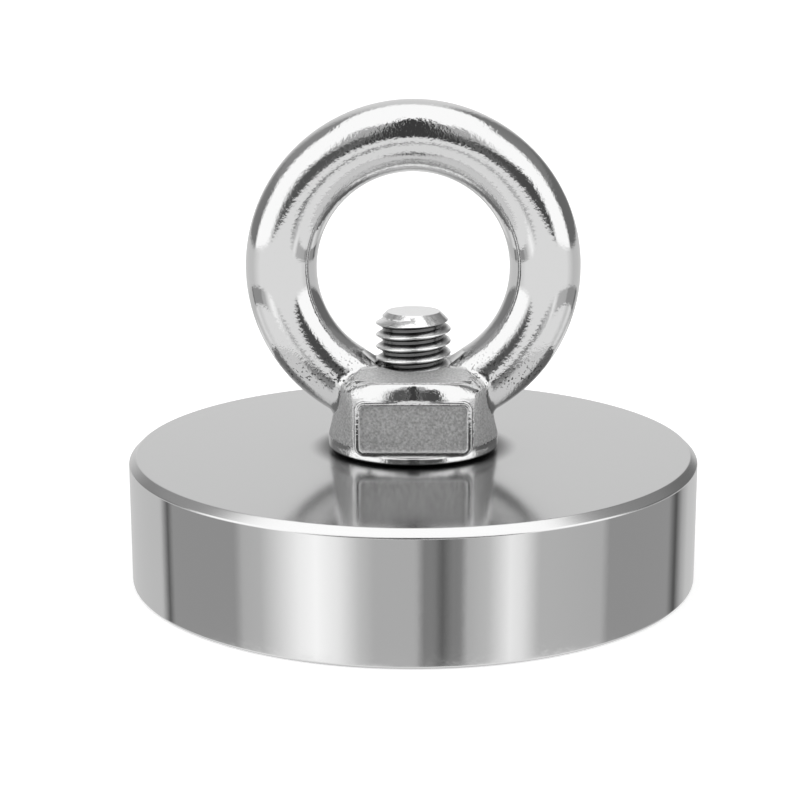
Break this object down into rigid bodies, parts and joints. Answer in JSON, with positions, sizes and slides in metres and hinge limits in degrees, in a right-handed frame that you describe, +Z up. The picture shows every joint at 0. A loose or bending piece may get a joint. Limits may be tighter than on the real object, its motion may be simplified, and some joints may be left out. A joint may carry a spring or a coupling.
{
  "type": "pot magnet with eye nut",
  "caption": "Round nickel-plated pot magnet with a cast stainless eye nut on its central stud, for lifting, hanging or retrieving steel items.",
  "frame": {"origin": "centre of the plane that the pot's rim rests on", "axes": "+Z up through the screw and the eye, +Y along the hole of the eye, towards the back"},
  "size_m": [0.06, 0.06, 0.0501],
  "materials": {
    "nickel_plate": "polished",
    "magnet_plate": "satin",
    "resin": "gloss",
    "screw_steel": "satin",
    "cast_stainless": "polished"
  },
  "bodies": {
    "root": {"steel_pot": "nickel_plate", "ring_magnet": "magnet_plate", "epoxy_bond": "resin", "countersunk_screw": "screw_steel", "eye_nut": "cast_stainless"}
  },
  "joints": []
}
